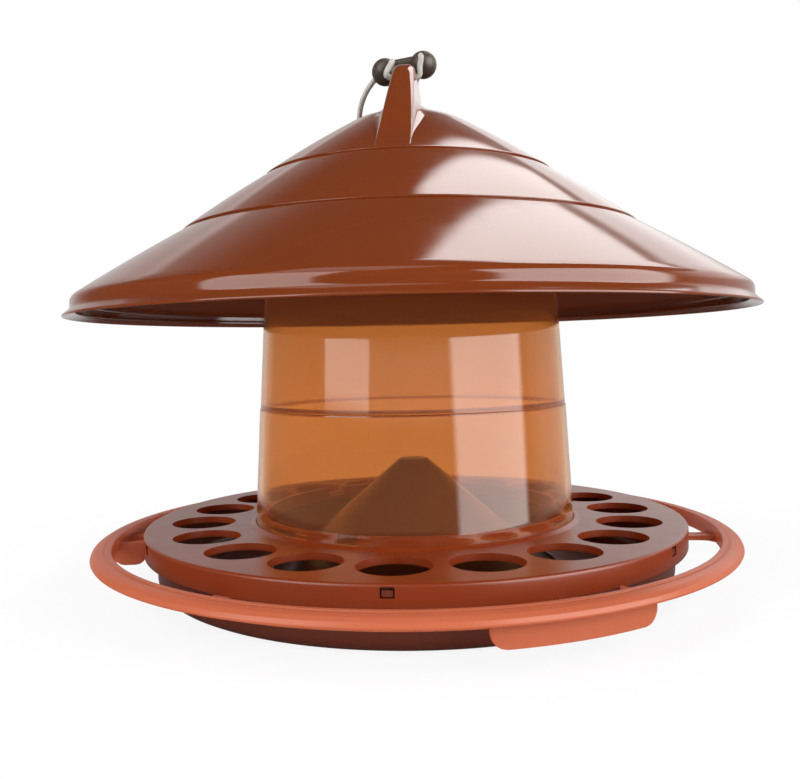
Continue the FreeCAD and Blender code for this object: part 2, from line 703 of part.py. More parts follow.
toggle_middle = Vector(toggle_across.value, toggle_back.value, fin_top.value + toggle_rise.value)
toggle_turn = Rotation(Vector(0, 1, 0), -toggle_tilt.value)
left_ball = toggle_middle + toggle_turn.multVec(Vector(-ball_half.value, 0, 0))
right_ball = toggle_middle + toggle_turn.multVec(Vector(ball_half.value, 0, 0))
eyelet_route = [
    left_ball + Vector(1.5, -1.5, -1.1),
    Vector(-7.2, eyelet_back.value + 0.2, eyelet_height.value),
    Vector(7.0, eyelet_back.value - 0.4, eyelet_height.value - 0.2),
    right_ball + Vector(-0.5, -1.6, -1.8),
]
loop_route = [
    left_ball + Vector(-1.7, 0.4, -1.7),
    Vector(-23.5, 12, 244.5),
    Vector(-30.5, 28, 228),
    Vector(-37, 56, 207.5),
    Vector(-36, 88, 187.5),
    Vector(-29, 118, 168.5),
    Vector(-12, 134, 160.5),
    Vector(14, 130, 162.5),
    Vector(27, 108, 175.5),
    Vector(21, 82, 193.5),
    Vector(10, 54, 216),
    Vector(3, 33, 240),
    Vector(3.5, 19, 250.5),
    right_ball + Vector(-0.8, 1.7, -1.5),
]


def rounded_path(points):
    """Straight runs joined by tangent arcs as large as the runs allow, and the arcs' radii."""
    edges = []
    radii = []
    start = points[0]
    for before, here, after in zip(points, points[1:], points[2:]):
        back = before - here
        ahead = after - here
        shorter = min(back.Length, ahead.Length)
        turn = math.pi - back.getAngle(ahead)
        reach = 0.45 * shorter
        radius = reach / math.tan(turn / 2)
        radii.append(radius)
        enter = here + back.normalize() * reach
        leave = here + ahead.normalize() * reach
        inward = (back + ahead).normalize()
        middle = here + inward * (radius / math.cos(turn / 2) - radius)
        edges.append(Part.LineSegment(start, enter).toShape())
        edges.append(Part.Arc(enter, middle, leave).toShape())
        start = leave
    edges.append(Part.LineSegment(start, points[-1]).toShape())
    return edges, radii


def cord_tube(label, points):
    edges, radii = rounded_path(points)
    wire = Part.Wire(edges)
    ring = Part.Circle(points[0], points[1] - points[0], cord_radius.value).toShape()
    tube = wire.makePipeShell([Part.Wire([ring])], True, False)
    part = doc.addObject("Part::Feature", label)
    part.Label = label
    part.Shape = tube
    share = tube.Volume / (math.pi * cord_radius.value ** 2 * wire.Length)
    print(label, "length %.1f" % wire.Length, "volume share %.4f" % share)
    print(label, "radii", " ".join("%.1f" % r for r in radii))
    return part


eyelet_cord = cord_tube("eyelet_cord", eyelet_route)
hanging_cord = cord_tube("hanging_cord", loop_route)

# Toggle, with a bore in each ball for each cord

toggle = new_body("cord_toggle")
toggle.Placement = FreeCAD.Placement(toggle_middle, toggle_turn)
toggle.setExpression("Placement.Base.x", toggle_across.text)
toggle.setExpression("Placement.Base.y", toggle_back.text)
toggle.setExpression("Placement.Base.z", (fin_top + toggle_rise).text)
bar = toggle.newObject("PartDesign::AdditiveCylinder", "bar")
bar.Radius = bar_radius.value
bar.setExpression("Radius", bar_radius.text)
bar.Height = ball_half.value * 2
bar.setExpression("Height", (ball_half * 2).text)
bar.Placement = FreeCAD.Placement(
    Vector(-ball_half.value, 0, bar_rise.value), Rotation(Vector(0, 1, 0), 90))
bar.setExpression("Placement.Base.x", (-ball_half).text)
bar.setExpression("Placement.Base.z", bar_rise.text)
for name, side in (("left_end", -1), ("right_end", 1)):
    ball = toggle.newObject("PartDesign::AdditiveSphere", name)
    ball.Radius = ball_radius.value
    ball.setExpression("Radius", ball_radius.text)
    ball.Placement = FreeCAD.Placement(Vector(side * ball_half.value, 0, 0), Rotation())
    ball.setExpression("Placement.Base.x", (side * ball_half).text)
into_toggle = toggle.Placement.inverse()
for name, inner, outer in (
    ("left_inner_bore", eyelet_route[0], eyelet_route[1]),
    ("right_inner_bore", eyelet_route[-1], eyelet_route[-2]),
    ("left_outer_bore", loop_route[0], loop_route[1]),
    ("right_outer_bore", loop_route[-1], loop_route[-2]),
):
    start = into_toggle.multVec(inner)
    way = (into_toggle.multVec(outer) - start).normalize()
    bore = toggle.newObject("PartDesign::SubtractiveCylinder", name)
    bore.Radius = cord_radius.value + 0.2
    bore.setExpression("Radius", (cord_radius + 0.2).text)
    bore.Height = ball_radius.value + 2.5
    bore.setExpression("Height", (ball_radius + 2.5).text)
    bore.Placement = FreeCAD.Placement(start - way * 0.3, Rotation(Vector(0, 0, 1), way))
    toggle.Tip = bore

# Checks and export

doc.recompute()
names = [
    "seed_bowl", "seed_cone", "tray_cover", "perch_ring", "lower_silo_tube", "upper_silo_tube",
    "roof", "cord_toggle", "eyelet_cord", "hanging_cord",
]
for thing in doc.Objects:
    if "Invalid" in thing.State or "Error" in thing.State:
        raise RuntimeError("%s did not build: %s" % (thing.Name, thing.State))
os.makedirs("parts", exist_ok=True)
solids = {name: doc.getObjectsByLabel(name)[0] for name in names}
for name, solid in solids.items():
    shape = solid.Shape
    if shape.isNull() or not shape.isValid() or len(shape.Solids) != 1:
        raise RuntimeError("%s has no sound solid" % name)
for name, solid in solids.items():
    box = solid.Shape.BoundBox
    print("%-16s %8.1f cm3  x %.1f %.1f  y %.1f %.1f  z %.1f %.1f" % (
        name, solid.Shape.Volume / 1000, box.XMin, box.XMax, box.YMin, box.YMax, box.ZMin, box.ZMax))
    solid.Shape.exportStep("parts/%s.step" % name)
doc.saveAs(os.path.abspath("silo_bird_feeder.FCStd"))
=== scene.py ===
"""Silo bird feeder: the looks of its roof, silo, tray, perch ring and cord."""

import math

import bmesh
import bpy
from mathutils import Matrix, Vector


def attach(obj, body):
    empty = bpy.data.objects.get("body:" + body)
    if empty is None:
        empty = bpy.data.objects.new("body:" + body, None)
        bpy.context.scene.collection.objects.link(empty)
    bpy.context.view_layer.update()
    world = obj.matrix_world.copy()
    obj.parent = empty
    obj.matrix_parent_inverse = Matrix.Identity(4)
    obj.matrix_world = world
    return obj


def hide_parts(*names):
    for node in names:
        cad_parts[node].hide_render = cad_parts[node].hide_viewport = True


bl_info = {
    "name": "Silo Bird Feeder",
    "version": (1, 0, 0),
    "blender": (4, 5, 0),
    "location": "View3D > Sidebar > Feeder",
    "description": "Builds a silo bird feeder with its materials and a studio stage",
    "category": "Add Mesh",
}

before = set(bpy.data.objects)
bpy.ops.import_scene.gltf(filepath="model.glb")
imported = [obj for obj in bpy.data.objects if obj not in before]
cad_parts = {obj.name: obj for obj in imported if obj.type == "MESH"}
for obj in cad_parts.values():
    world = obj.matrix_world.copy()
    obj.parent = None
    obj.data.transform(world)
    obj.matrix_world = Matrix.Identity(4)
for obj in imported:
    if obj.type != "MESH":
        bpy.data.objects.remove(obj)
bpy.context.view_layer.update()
MM = 0.001
TINY = 1e-6

# Counts that several pieces share

LOCKS = 3
FLAPS = 3
SPOKES = 6
SNAPS = 6


# Sizes and colours that a user would change


class RoofSettings(bpy.types.PropertyGroup):
    """Rain roof and its fin."""

    lip_radius: bpy.props.FloatProperty(
        name="Lip radius", description="Tip of the roof's lip", default=0.165, unit="LENGTH")
    edge_rounding: bpy.props.FloatProperty(
        name="Step rounding", description="Rounding of the two step edges",
        default=0.0004, unit="LENGTH")
    fin_rounding: bpy.props.FloatProperty(
        name="Fin rounding", description="Rounding along the fin's top",
        default=0.0034, unit="LENGTH")
    fin_blend: bpy.props.FloatProperty(
        name="Fin blend", description="Blend between the fin and the roof",
        default=0.0075, unit="LENGTH")
    fin_turn: bpy.props.FloatProperty(
        name="Fin turn", description="Slight turn of the fin round the roof's axis",
        default=math.radians(-0.9), unit="ROTATION")
    colour: bpy.props.FloatVectorProperty(
        name="Roof colour", description="Colour of the roof's plastic", subtype="COLOR", size=3,
        default=(0.134, 0.026, 0.0055), min=0, max=1)
    roughness: bpy.props.FloatProperty(
        name="Roof roughness", description="Roughness of the polished roof",
        default=0.09, subtype="FACTOR")


class SiloSettings(bpy.types.PropertyGroup):
    """The two clear tubes."""

    edge_rounding: bpy.props.FloatProperty(
        name="Edge rounding", description="Rounding of the tubes' edges",
        default=0.0004, unit="LENGTH")
    colour: bpy.props.FloatVectorProperty(
        name="Silo colour", description="Colour that one wall gives the light passing it",
        subtype="COLOR", size=3, default=(0.73, 0.415, 0.18), min=0, max=1)
    haze_colour: bpy.props.FloatVectorProperty(
        name="Haze colour", description="Colour of the wall's faint cloudiness",
        subtype="COLOR", size=3, default=(0.85, 0.31, 0.12), min=0, max=1)
    lower_haze: bpy.props.FloatProperty(
        name="Lower haze", description="Share of the light that the lower wall's face scatters",
        default=0.05, subtype="FACTOR")
    upper_haze: bpy.props.FloatProperty(
        name="Upper haze", description="Share of the light that the upper wall's face scatters",
        default=0.1, subtype="FACTOR")
    roughness: bpy.props.FloatProperty(
        name="Silo roughness", description="Roughness of the clear wall",
        default=0.03, subtype="FACTOR")


class TraySettings(bpy.types.PropertyGroup):
    """Feed cover, bowl and seed cone."""

    hole_radius: bpy.props.FloatProperty(
        name="Hole radius", description="Radius of a feed hole", default=0.0155, unit="LENGTH")
    hole_circle: bpy.props.FloatProperty(
        name="Hole circle", description="Radius of the circle of feed holes",
        default=0.106, unit="LENGTH")
    hole_rounding: bpy.props.FloatProperty(
        name="Hole rounding", description="Rounding of a feed hole's rim",
        default=0.0008, unit="LENGTH")
    hole_count: bpy.props.IntProperty(
        name="Feed holes", description="Number of feed holes", default=18, min=3)
    cover_colour: bpy.props.FloatVectorProperty(
        name="Cover colour", description="Colour of the feed cover", subtype="COLOR", size=3,
        default=(0.168, 0.0235, 0.004), min=0, max=1)
    bowl_colour: bpy.props.FloatVectorProperty(
        name="Bowl colour", description="Colour of the bowl", subtype="COLOR", size=3,
        default=(0.10, 0.021, 0.010), min=0, max=1)
    cone_colour: bpy.props.FloatVectorProperty(
        name="Cone colour", description="Colour of the seed cone", subtype="COLOR", size=3,
        default=(0.045, 0.012, 0.0065), min=0, max=1)


class PerchSettings(bpy.types.PropertyGroup):
    """Perch ring with its spokes and flaps."""

    colour: bpy.props.FloatVectorProperty(
        name="Perch colour", description="Colour of the perch ring", subtype="COLOR", size=3,
        default=(0.58, 0.165, 0.08), min=0, max=1)
    roughness: bpy.props.FloatProperty(
        name="Perch roughness", description="Roughness of the satin ring",
        default=0.24, subtype="FACTOR")


class CordSettings(bpy.types.PropertyGroup):
    """Hanging cord and its toggle."""

    diameter: bpy.props.FloatProperty(
        name="Cord diameter", description="Thickness of the cord", default=0.0028, unit="LENGTH")
    length: bpy.props.FloatProperty(
        name="Cord length", description="Length of the free loop", default=0.35, unit="LENGTH")
    cord_colour: bpy.props.FloatVectorProperty(
        name="Cord colour", description="Colour of the braid", subtype="COLOR", size=3,
        default=(0.54, 0.52, 0.47), min=0, max=1)
    toggle_colour: bpy.props.FloatVectorProperty(
        name="Toggle colour", description="Colour of the toggle", subtype="COLOR", size=3,
        default=(0.042, 0.027, 0.020), min=0, max=1)


class StageSettings(bpy.types.PropertyGroup):
    """Camera, floor and studio light."""

    distance: bpy.props.FloatProperty(
        name="Camera distance", description="Distance of the camera from the silo's axis",
        default=0.4414, unit="LENGTH")
    height: bpy.props.FloatProperty(
        name="Camera height", description="Height of the camera", default=0.1116, unit="LENGTH")
    azimuth: bpy.props.FloatProperty(
        name="Camera azimuth", description="Camera's turn from the front towards the right",
        default=math.radians(4.5), unit="ROTATION")
    yaw: bpy.props.FloatProperty(
        name="Camera aim", description="Aim's turn towards the right",
        default=-0.014, unit="ROTATION")
    pitch: bpy.props.FloatProperty(
        name="Camera pitch", description="Aim's tilt below the horizontal",
        default=0.042, unit="ROTATION")
    roll: bpy.props.FloatProperty(
        name="Camera roll", description="Clockwise roll of the camera",
        default=0.020, unit="ROTATION")
    focal_pixels: bpy.props.FloatProperty(
        name="Focal length", description="Focal length in pixels of an 800 pixel wide picture",
        default=869.0)


SETTINGS = {
    "feeder_roof": RoofSettings,
    "feeder_silo": SiloSettings,
    "feeder_tray": TraySettings,
    "feeder_perch": PerchSettings,
    "feeder_cord": CordSettings,
    "feeder_stage": StageSettings,
}


# Materials

RELIEF = 0.0004
ROUGHNESS_SPREAD = 0.1
STRAND_LEAN = 0.5


class Value:
    """A shader socket that takes part in Python sums."""

    def __init__(self, look, socket):
        self.look = look
        self.socket = socket

    def sum(self, operation, first, second):
        sockets = {0: first, 1: second}
        return self.look.node("ShaderNodeMath", {"operation": operation}, sockets)["Value"]

    def __add__(self, other):
        return self.sum("ADD", self, other)

    def __sub__(self, other):
        return self.sum("SUBTRACT", self, other)

    def __mul__(self, other):
        return self.sum("MULTIPLY", self, other)

    def __truediv__(self, other):
        return self.sum("DIVIDE", self, other)


class Look:
    """A material or world under construction."""

    def __init__(self, name, owner=None):
        self.material = owner or bpy.data.materials.new(name)
        self.material.use_nodes = True
        self.tree = self.material.node_tree
        self.tree.nodes.clear()

    def node(self, kind, settings=None, sockets=None):
        """Add a node, set it up, and return its outputs by name."""
        made = self.tree.nodes.new(kind)
        for name, setting in (settings or {}).items():
            setattr(made, name, setting)
        for name, given in (sockets or {}).items():
            if isinstance(given, Value):
                self.tree.links.new(given.socket, made.inputs[name])
            else:
                made.inputs[name].default_value = given
        return {out.name: Value(self, out) for out in made.outputs if out.enabled}

    def ends_with(self, shader):
        """Link the finished shader to the material's output."""
        self.node("ShaderNodeOutputMaterial", None, {"Surface": shader})
        return self.material

    def place(self):
        """Where a point is on its object."""
        return self.node("ShaderNodeTexCoord")["Object"]

    def seen(self):
        """One for what the camera sees, straight or through the clear walls."""
        path = self.node("ShaderNodeLightPath")
        return path["Is Camera Ray"] + path["Is Transmission Ray"]

    def noise(self, scale, detail, rough, place):
        """Even noise between nought and one."""
        sockets = {"Vector": place, "Scale": scale, "Detail": detail, "Roughness": rough}
        return self.node("ShaderNodeTexNoise", None, sockets)["Fac"]

    def blend(self, factor, first, second):
        """A mix of two colours."""
        sockets = {0: factor, 6: first, 7: second}
        return self.node("ShaderNodeMix", {"data_type": "RGBA"}, sockets)["Result"]

    def mix(self, factor, first, second):
        """A mix of two shaders."""
        sockets = {0: factor, 1: first, 2: second}
        return self.node("ShaderNodeMixShader", None, sockets)["Shader"]

    def step(self, value, start, end, first=0.0, last=1.0):
        """A soft step from the first number to the last as the value goes from start to end."""
        settings = {"interpolation_type": "SMOOTHSTEP"}
        sockets = {
            "Value": value, "From Min": start, "From Max": end, "To Min": first, "To Max": last,
        }
        return self.node("ShaderNodeMapRange", settings, sockets)["Result"]

    def along(self, way, axis):
        """How far a direction runs along an axis."""
        sockets = {0: way, 1: tuple(axis)}
        return self.node("ShaderNodeVectorMath", {"operation": "DOT_PRODUCT"}, sockets)["Value"]

    def bump(self, height, strength):
        """A fine relief of the surface."""
        sockets = {"Height": height, "Strength": strength, "Distance": RELIEF}
        return self.node("ShaderNodeBump", None, sockets)["Normal"]


def tone(colour, factor):
    """The same colour made lighter or darker, with full alpha."""
    return tuple(min(1.0, c * factor) for c in colour) + (1.0,)


def moulded_plastic(name, colour, roughness, mottling, grain, glow=0.0, through=0.0):
    """Moulded plastic: faint flow mottling, a slight orange peel and soft handling marks."""
    look = Look(name)
    place = look.place()
    flow = look.noise(18.0, 4.0, 0.55, place)
    marks = look.noise(75.0, 5.0, 0.6, place)
    peel = look.noise(900.0, 2.0, 0.5, place)
    base = look.blend(flow, tone(colour, 1 - mottling), tone(colour, 1 + mottling))
    sockets = {
        "Base Color": base,
        "Roughness": marks * ROUGHNESS_SPREAD + (roughness - ROUGHNESS_SPREAD / 2),
        "IOR": 1.5,
        "Normal": look.bump(peel, grain),
        "Subsurface Weight": glow,
        "Subsurface Radius": (0.012, 0.004, 0.0015),
        "Subsurface Scale": 1.0,
    }
    skin = look.node("ShaderNodeBsdfPrincipled", None, sockets)["BSDF"]
    if through:
        deep = tuple(c ** 0.6 for c in colour)
        passing = look.node("ShaderNodeBsdfTranslucent", None, {"Color": tone(deep, 1.0)})["BSDF"]
        skin = look.mix(through, skin, passing)
    return look.ends_with(skin)


def clear_plastic(name, colour, roughness, haze_colour, haze):
    """Clear tinted wall with faint flow lines and a slight haze, which lets light through."""
    look = Look(name)
    place = look.place()
    stretch = {"Vector": place, "Scale": (60.0, 60.0, 4.0)}
    streaks = look.node("ShaderNodeMapping", None, stretch)["Vector"]
    lines = look.noise(1.0, 4.0, 0.6, streaks)
    smear = look.noise(28.0, 4.0, 0.6, place)
    base = look.blend(lines, tone(colour, 0.97), tone(colour, 1.03))
    sockets = {
        "Base Color": base,
        "Roughness": smear * 0.05 + (roughness - 0.02),
        "IOR": 1.49,
        "Transmission Weight": 1.0,
        "Normal": look.bump(lines, 0.02),
    }
    wall = look.node("ShaderNodeBsdfPrincipled", None, sockets)["BSDF"]
    cloud = look.node("ShaderNodeBsdfDiffuse", None, {"Color": tone(haze_colour, 1.0)})["BSDF"]
    cloudy = smear * (0.4 * haze) + 0.8 * haze
    wall = look.mix(cloudy, wall, cloud)
    face = tuple(math.sqrt(c) for c in colour)
    passing = look.node("ShaderNodeBsdfTransparent", None, {"Color": tone(face, 1.0)})["BSDF"]
    shadow = look.node("ShaderNodeLightPath")["Is Shadow Ray"]
    return look.ends_with(look.mix(shadow, wall, passing))


def braided_cord(name, colour):
    """Braided synthetic cord: crossing strands along the piece's own map, with a dull finish."""
    look = Look(name)
    spot = look.node("ShaderNodeTexCoord")["UV"]
    strands = []
    for lean in (STRAND_LEAN, -STRAND_LEAN):
        sockets = {"Vector": spot, "Rotation": (0, 0, lean), "Scale": (170, 8, 1)}
        run = look.node("ShaderNodeMapping", None, sockets)["Vector"]
        strands.append(look.node("ShaderNodeTexWave", None, {"Vector": run, "Scale": 1.0})["Fac"])
    weave = strands[0] * strands[1]
    sockets = {
        "Base Color": look.blend(weave, tone(colour, 0.72), tone(colour, 1.12)),
        "Roughness": 0.7,
        "Normal": look.bump(weave, 0.5),
    }
    return look.ends_with(look.node("ShaderNodeBsdfPrincipled", None, sockets)["BSDF"])


# Modelling helpers

ARC_STEP = math.radians(18)
CORNER_SHARE = 0.45


def clear_selection():
    """Leave edit mode and deselect everything."""
    if bpy.context.object and bpy.context.object.mode != "OBJECT":
        bpy.ops.object.mode_set(mode="OBJECT")
    bpy.ops.object.select_all(action="DESELECT")


def pick(*things):
    """Select these objects alone, the first one active."""
    clear_selection()
    for thing in things:
        thing.select_set(True)
    bpy.context.view_layer.objects.active = things[0]


def settle(thing):
    """Move an object's place into its mesh."""
    pick(thing)
    bpy.ops.object.transform_apply(location=True, rotation=True, scale=True)


def soften(thing, angle):
    """Shade a piece smooth where its faces meet at less than an angle in degrees."""
    pick(thing)
    bpy.ops.object.shade_smooth_by_angle(angle=math.radians(angle))


def face_out(thing):
    """Turn all faces of a piece outwards."""
    pick(thing)
    bpy.ops.object.mode_set(mode="EDIT")
    bpy.ops.mesh.select_all(action="SELECT")
    bpy.ops.mesh.normals_make_consistent(inside=False)
    bpy.ops.object.mode_set(mode="OBJECT")


def join(name, things):
    """Make one piece of several."""
    pick(*things)
    bpy.ops.object.join()
    made = bpy.context.object
    made.name = name
    made.data.name = name
    return made


def cut(target, cutter, operation="DIFFERENCE"):
    """Apply a boolean to the target and throw the cutter away."""
    pick(target)
    change = target.modifiers.new("cut", "BOOLEAN")
    change.object = cutter
    change.operation = operation
    change.solver = "EXACT"
    bpy.ops.object.modifier_apply(modifier=change.name)
    bpy.data.objects.remove(cutter, do_unlink=True)


def copies_around(thing, count):
    """The piece and its copies, evenly about the upright axis, each with its own mesh."""
    made = [thing]
    for number in range(1, count):
        other = thing.copy()
        other.data = thing.data.copy()
        bpy.context.collection.objects.link(other)
        other.data.transform(Matrix.Rotation(2 * math.pi * number / count, 4, "Z"))
        made.append(other)
    return made


def rounded(points, guard=0.7):
    """Outline with its marked corners rounded, and a guard point beside each rounding.

    A point is (radius, height) or (radius, height, rounding), all in millimetres.
    """
    made = []
    count = len(points)
    for index, point in enumerate(points):
        here = Vector(point[:2])
        if len(point) < 3:
            made.append(here)
            continue
        before = Vector(points[index - 1][:2]) - here
        after = Vector(points[(index + 1) % count][:2]) - here
        half = before.angle(after) / 2
        reach = point[2] / math.tan(half)
        reach = min(reach, CORNER_SHARE * before.length, CORNER_SHARE * after.length)
        radius = reach * math.tan(half)
        back = before.normalized()
        on = after.normalized()
        middle = here + (back + on).normalized() * (radius / math.sin(half))
        start = here + back * reach
        end = here + on * reach
        sweep = (start - middle).angle_signed(end - middle)
        steps = max(3, int(abs(sweep) / ARC_STEP))
        if before.length > 4 * reach + guard:
            made.append(start + back * guard)
        for step in range(steps + 1):
            arm = (start - middle).copy()
            arm.rotate(Matrix.Rotation(-sweep * step / steps, 2))
            made.append(middle + arm)
        if after.length > 4 * reach + guard:
            made.append(end + on * guard)
    return [(p[0], p[1]) for p in made]


def turned(name, points, steps=256, sweep=360.0, start=0.0):
    """Turn an outline in millimetres about the upright axis. A part turn is closed at both ends."""
    clear_selection()
    whole = sweep >= 360.0
    fill = "NOTHING" if whole else "NGON"
    bpy.ops.mesh.primitive_circle_add(vertices=len(points), radius=0.1, fill_type=fill)
    thing = bpy.context.object
    thing.name = name
    for vertex, (radius, height) in zip(thing.data.vertices, points):
        vertex.co = Vector((radius * MM, 0, height * MM))
    thing.data.transform(Matrix.Rotation(math.radians(start), 4, "Z"))
    bpy.ops.object.mode_set(mode="EDIT")
    bpy.ops.mesh.select_all(action="SELECT")
    bpy.ops.mesh.spin(steps=steps, angle=math.radians(sweep), center=(0, 0, 0), axis=(0, 0, 1))
    bpy.ops.mesh.select_all(action="SELECT")
    bpy.ops.mesh.remove_doubles(threshold=TINY)
    bpy.ops.mesh.dissolve_degenerate(threshold=TINY / 10)
    bpy.ops.mesh.delete_loose()
    face_out(thing)
    settle(thing)
    return thing


def turned_locks(name, points, steps, sweep, start):
    """Lugs, ledges or cutters of a bayonet: a part turn and its copies round the axis."""
    return copies_around(turned(name, points, steps, sweep, start), LOCKS)


def plate(name, corners, shift):
    """A flat outline of corners extruded along a shift, all in millimetres."""
    clear_selection()
    bpy.ops.mesh.primitive_circle_add(vertices=len(corners), radius=0.1, fill_type="NGON")
    thing = bpy.context.object
    thing.name = name
    for vertex, corner in zip(thing.data.vertices, corners):
        vertex.co = Vector(corner) * MM
    bpy.ops.object.mode_set(mode="EDIT")
    bpy.ops.mesh.select_all(action="SELECT")
    bpy.ops.mesh.extrude_region_move(TRANSFORM_OT_translate={"value": [s * MM for s in shift]})
    face_out(thing)
    return thing


def block(name, low, high):
    """A box between two corners in millimetres."""
    clear_selection()
    bpy.ops.mesh.primitive_cube_add(size=1)
    thing = bpy.context.object
    thing.name = name
    size = [(b - a) * MM for a, b in zip(low, high)]
    middle = [(a + b) / 2 * MM for a, b in zip(low, high)]
    thing.data.transform(Matrix.LocRotScale(Vector(middle), None, Vector(size)))
    return thing


def rod(name, start, end, radius, sides=48):
    """A round bar between two points in millimetres."""
    clear_selection()
    start = Vector(start)
    end = Vector(end)
    depth = (end - start).length * MM
    bpy.ops.mesh.primitive_cylinder_add(vertices=sides, radius=radius * MM, depth=depth)
    thing = bpy.context.object
    thing.name = name
    turn = Vector((0, 0, 1)).rotation_difference(end - start)
    thing.data.transform(Matrix.LocRotScale((start + end) / 2 * MM, turn, None))
    return thing


def round_off(thing, width, segments, wanted):
    """Bevel the edges that the test accepts, in edit mode."""
    pick(thing)
    bpy.ops.object.mode_set(mode="EDIT")
    bpy.ops.mesh.select_mode(type="EDGE")
    bpy.ops.mesh.select_all(action="DESELECT")
    shape = bmesh.from_edit_mesh(thing.data)
    for edge in shape.edges:
        if wanted(edge):
            edge.select = True
    bmesh.update_edit_mesh(thing.data)
    bpy.ops.mesh.bevel(
        offset=width * MM, segments=segments, profile=0.5, affect="EDGES", clamp_overlap=True)
    bpy.ops.mesh.select_all(action="SELECT")
    bpy.ops.mesh.remove_doubles(threshold=TINY)
    bpy.ops.object.mode_set(mode="OBJECT")


def finish_piece(thing, body, nodes, material, angle=32.0):
    """Give a piece its material and its place in the frame."""
    soften(thing, angle)
    thing.data.materials.clear()
    thing.data.materials.append(material)
    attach(thing, body)
    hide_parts(*nodes)


# Shared shape of the roof, in millimetres

CROWN = 232.03
DOME = (34.0, 222.2)
HIGH_STEP = (71.4, 198.6)
LOW_STEP = (111.2, 170.9)
ROOF_WALL = 2.6
SWELL = 0.45
SWELL_UPWARDS = 1.18

# The fin, in millimetres, and the shares of its skin where the top, the rounding and the side end

FIN_TOP = 254.5
FIN_FOOT = 7.5
FIN_TAPER = 2.3
TAPER_FROM = 205.0
FIN_HALF = 69.0
FIN_FLAT = 11.5
FIN_FALL = 54.5
FIN_RUN = 53.5
FIN_BANDS = (0.17, 0.36, 0.66)
FIN_SINK = 0.06
FIN_ROOT = 1.2
FIN_SPREAD = 3.0
RIDGE_BEND = 40.0
RIDGE_LIFT = 0.8
END_BEND = 5.0
END_SINK = 0.35
LEAST_EDGE = 0.9
LEAST_RISE = 0.05
KNEE = 0.3
EYELET = (2.0, 249.3)
EYELET_RADIUS = 3.1


def arched(start, end, steps=10):
    """Points from the start up to the end of a tier that swells outwards a little between them."""
    start = Vector(start)
    run = Vector(end) - start
    out = Vector((-run.y, run.x)).normalized()
    shares = [step / steps for step in range(steps)]
    spots = [start + run * share + out * (SWELL * 4 * share * (1 - share)) for share in shares]
    return [(spot.x, spot.y) for spot in spots]


def ball_radius(half, rise):
    """Radius of the ball that a dome of this half width and rise is a cap of."""
    return (half ** 2 + rise ** 2) / (2 * rise)


def dome_points(top, edge, steps=14):
    """Points of the dome from the axis out to its edge."""
    radius = ball_radius(edge[0], top - edge[1])
    full = math.asin(edge[0] / radius)
    turns = [full * step / steps for step in range(steps + 1)]
    return [(radius * math.sin(a), top - radius + radius * math.cos(a)) for a in turns]


def roof_level(across):
    """Height of the roof's outside at a radius above the upper step."""
    if across > DOME[0]:
        share = (across - DOME[0]) / (HIGH_STEP[0] - DOME[0])
        bulge = SWELL * SWELL_UPWARDS * 4 * share * (1 - share)
        return DOME[1] - share * (DOME[1] - HIGH_STEP[1]) + bulge
    radius = ball_radius(DOME[0], CROWN - DOME[1])
    return CROWN - radius + math.sqrt(radius ** 2 - across ** 2)


# Stage: a panel has its turn and tilt in degrees, sides, levels, lean and soft edge

WHITE = (1, 1, 1, 1)
WARM_WHITE = (1, 0.99, 0.98, 1)
FLOOR_GREY = (0.86, 0.86, 0.86, 1)
PHOTO_WIDTH = 800
SENSOR_WIDTH = 36.0
BACK_PANEL = (18, 47, (-0.075, 0.25), (-0.19, 0.277), 0.278, 0.035)
BACK_GLOW = 3.9
BACK_RISE = 5.5
LEFT_PANEL = (-136.5, 25, (-0.3, 0.32), (-0.385, 0.466), 0.0, 0.05)
LEFT_GLOW = 4.0
RIGHT_PANEL = (115, 18, (-0.42, 0.56), (-0.5, 0.45), 0.0, 0.14)
RIGHT_GLOW = 6.0
BACKDROP_GLOW = 0.6
STRIP_GLOW = 0.6
ROOM_GLOW = 0.05


def white_seen(look, lit):
    """White for what is seen, with the lit floor showing through near the object."""
    seen = look.seen()
    reach = look.node("ShaderNodeVectorMath", {"operation": "LENGTH"}, {0: look.place()})["Value"]
    far = look.step(reach, 0.16, 0.5, 0.88, 1.0)
    glow = look.node("ShaderNodeEmission", None, {"Color": WHITE, "Strength": 1.0})["Emission"]
    return look.mix(seen * far, lit, glow)


def studio_panel(look, way, turn, tilt, sides, levels, lean, edge):
    """How far a soft-edged panel covers each direction, and the level in it, at unit distance."""
    turn = math.radians(turn)
    tilt = math.radians(tilt)
    flat = math.cos(tilt)
    ahead = Vector((math.sin(turn) * flat, math.cos(turn) * flat, math.sin(tilt)))
    across = Vector((math.cos(turn), -math.sin(turn), 0))
    depth = look.along(way, ahead)
    level = look.along(way, across.cross(ahead)) / depth
    side = look.along(way, across) / depth + level * lean
    cover = look.step(depth, 0.02, 0.1)
    for spot, (low, high) in ((side, sides), (level, levels)):
        cover = cover * look.step(spot, low - edge, low)
        cover = cover * look.step(spot, high, high + edge, 1.0, 0.0)
    return cover, level


def soft_box(name, place, aim, size, power):
    """A square lamp at a place that shines towards an aim."""
    clear_selection()
    bpy.ops.object.light_add(type="AREA", location=place)
    lamp = bpy.context.object
    lamp.name = name
    lamp.data.shape = "RECTANGLE"
    lamp.data.size = size
    lamp.data.size_y = size
    lamp.data.energy = power
    lamp.rotation_euler = (Vector(aim) - Vector(place)).to_track_quat("-Z", "Y").to_euler()
    return lamp


